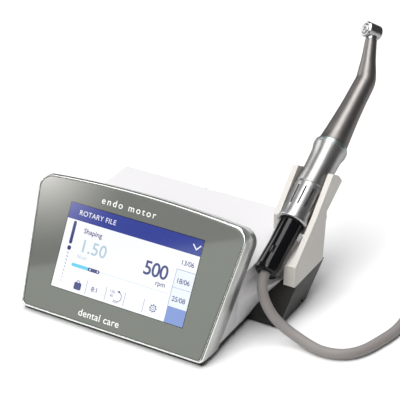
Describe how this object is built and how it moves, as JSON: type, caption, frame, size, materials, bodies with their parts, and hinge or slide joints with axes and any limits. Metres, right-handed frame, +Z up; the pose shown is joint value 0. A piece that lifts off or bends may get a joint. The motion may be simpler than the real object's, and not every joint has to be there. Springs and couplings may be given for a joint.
{
  "type": "endodontic motor",
  "caption": "Desktop root-canal motor: leaning touch-screen unit with a side fork that holds a corded motor handpiece with a bent contra-angle.",
  "frame": {"origin": "on the bench, under the middle of the footprint without the cord", "axes": "+X to the viewer's right, +Y to the back, +Z up; the screen faces -Y and up"},
  "size_m": [0.3296, 0.2286, 0.1439],
  "materials": {
    "bezel_silver": "satin silver-grey paint",
    "panel_glass": "grey printed glass",
    "black_plastic": "fine moulded",
    "display": "display module",
    "sheet_steel": "bright",
    "circuit_board": "solder mask",
    "cable_film": "flat cable",
    "cover_white": "satin white moulding",
    "base_dark": "gloss dark moulding",
    "foot_rubber": "matte",
    "screw_steel": "zinc",
    "chips": "components",
    "plate_grey": "anodised grey",
    "socket_metal": "nickel",
    "rocker_black": "gloss black",
    "holder_cream": "cream moulding",
    "pad_rubber": "matte",
    "handle_black": "gloss black",
    "satin_metal": "satin",
    "gland_grey": "soft",
    "core_steel": "lamination",
    "copper": "enamelled wire",
    "magnet": "nickel plated",
    "steel": "ground",
    "seal_black": "o-ring",
    "contra_steel": "satin steel",
    "head_steel": "polished",
    "ring_green": "pale green",
    "gear_brass": "plain",
    "cord_grey": "silicone"
  },
  "bodies": {
    "unit": {"front_bezel": "bezel_silver", "screen_glass": "panel_glass", "display_back": "cover_white", "lcd_module": "display", "lcd_frame": "sheet_steel", "display_board": "circuit_board", "display_cable": "cable_film", "top_cover": "cover_white", "base_tray": "base_dark", "rubber_feet": "foot_rubber", "housing_screws": "screw_steel", "main_board": "circuit_board", "board_parts": "chips", "board_standoffs": "screw_steel", "board_screws": "screw_steel", "speaker": "chips", "rear_panel": "plate_grey", "m2_screws": "screw_steel", "motor_socket": "socket_metal", "socket_nut": "sheet_steel", "pedal_socket": "socket_metal", "dc_inlet": "black_plastic", "rocker_frame": "black_plastic", "handpiece_holder": "holder_cream", "holder_pad": "pad_rubber", "holder_screw": "screw_steel", "motor_cord": "cord_grey", "cord_coil": "cord_grey", "cord_tail": "cord_grey", "cord_plug": "socket_metal", "plug_nut": "satin_metal"},
    "power_rocker": {"power_rocker": "rocker_black"},
    "motor": {"motor_housing": "handle_black", "motor_sleeve": "satin_metal", "cord_gland": "gland_grey", "hall_board": "circuit_board", "motor_bearings": "steel", "stator_core": "core_steel", "stator_coils": "copper", "coupling_nose": "steel", "nose_seals": "seal_black"},
    "rotor": {"rotor_magnet": "magnet", "motor_shaft": "steel"},
    "latch_ring": {"latch_ring": "steel"},
    "contra_angle": {"rear_sheath": "contra_steel", "ring_gear": "gear_brass", "marking_ring": "ring_green", "neck_sheath": "contra_steel", "drive_bearings": "steel", "head_shell": "head_steel", "head_bearings": "steel", "button_spring": "steel"},
    "input_shaft": {"input_shaft": "steel"},
    "planet_carrier": {"planet_carrier": "steel"},
    "neck_shaft": {"neck_shaft": "steel"},
    "chuck_spindle": {"chuck_spindle": "steel"},
    "push_button": {"push_button": "head_steel"},
    "planet_1": {"planet_gear_1": "gear_brass"},
    "planet_2": {"planet_gear_2": "gear_brass"},
    "planet_3": {"planet_gear_3": "gear_brass"}
  },
  "joints": [
    {"name": "rocker_tilt", "type": "hinge", "parent": "unit", "child": "power_rocker", "pos_m": [-0.032, 0.01768, 0.021], "axis": [1, 0, 0], "range_deg": [0, 16]},
    {"name": "motor_lift", "type": "slide", "parent": "unit", "child": "motor", "axis": [0, 0.2079, 0.9781], "range_m": [0, 0.045]},
    {"name": "rotor_spin", "type": "hinge", "parent": "motor", "child": "rotor", "pos_m": [0.0758, -0.05296, 0.03835], "axis": [0, 0.8805, 0.4741], "continuous": true},
    {"name": "contra_pull", "type": "slide", "parent": "motor", "child": "latch_ring", "axis": [0, 0.8805, 0.4741], "range_m": [0, 0.03]},
    {"name": "contra_turn", "type": "hinge", "parent": "latch_ring", "child": "contra_angle", "pos_m": [0.0758, -0.05296, 0.03835], "axis": [0, 0.8805, 0.4741], "continuous": true},
    {"name": "input_spin", "type": "hinge", "parent": "contra_angle", "child": "input_shaft", "pos_m": [0.0758, -0.05296, 0.03835], "axis": [0, 0.8805, 0.4741], "continuous": true},
    {"name": "carrier_spin", "type": "hinge", "parent": "contra_angle", "child": "planet_carrier", "pos_m": [0.0758, -0.05296, 0.03835], "axis": [0, 0.8805, 0.4741], "continuous": true},
    {"name": "planet_1_spin", "type": "hinge", "parent": "planet_carrier", "child": "planet_1", "pos_m": [0.07197, -0.05168, 0.03598], "axis": [0, 0.8805, 0.4741], "continuous": true},
    {"name": "planet_2_spin", "type": "hinge", "parent": "planet_carrier", "child": "planet_2", "pos_m": [0.07538, -0.05517, 0.04245], "axis": [0, 0.8805, 0.4741], "continuous": true},
    {"name": "planet_3_spin", "type": "hinge", "parent": "planet_carrier", "child": "planet_3", "pos_m": [0.08005, -0.05203, 0.03662], "axis": [0, 0.8805, 0.4741], "continuous": true},
    {"name": "neck_spin", "type": "hinge", "parent": "contra_angle", "child": "neck_shaft", "pos_m": [0.0758, 0.08413, 0.11217], "axis": [-0.2154, 0.6711, 0.7094], "continuous": true},
    {"name": "spindle_spin", "type": "hinge", "parent": "contra_angle", "child": "chuck_spindle", "pos_m": [0.06833, 0.10742, 0.13678], "axis": [0.5331, 0.6895, -0.4903], "continuous": true},
    {"name": "button_press", "type": "slide", "parent": "contra_angle", "child": "push_button", "axis": [0.5331, 0.6895, -0.4903], "range_m": [0, 0.0007], "stiffness_N_per_m": 1500, "springref_m": -0.0004}
  ],
  "couplings": [
    {"joint": "input_spin", "follows": "rotor_spin", "ratio": 1},
    {"joint": "carrier_spin", "follows": "rotor_spin", "ratio": 0.25},
    {"joint": "neck_spin", "follows": "rotor_spin", "ratio": 0.25},
    {"joint": "spindle_spin", "follows": "rotor_spin", "ratio": 0.125},
    {"joint": "planet_1_spin", "follows": "rotor_spin", "ratio": -0.75},
    {"joint": "planet_2_spin", "follows": "rotor_spin", "ratio": -0.75},
    {"joint": "planet_3_spin", "follows": "rotor_spin", "ratio": -0.75}
  ]
}
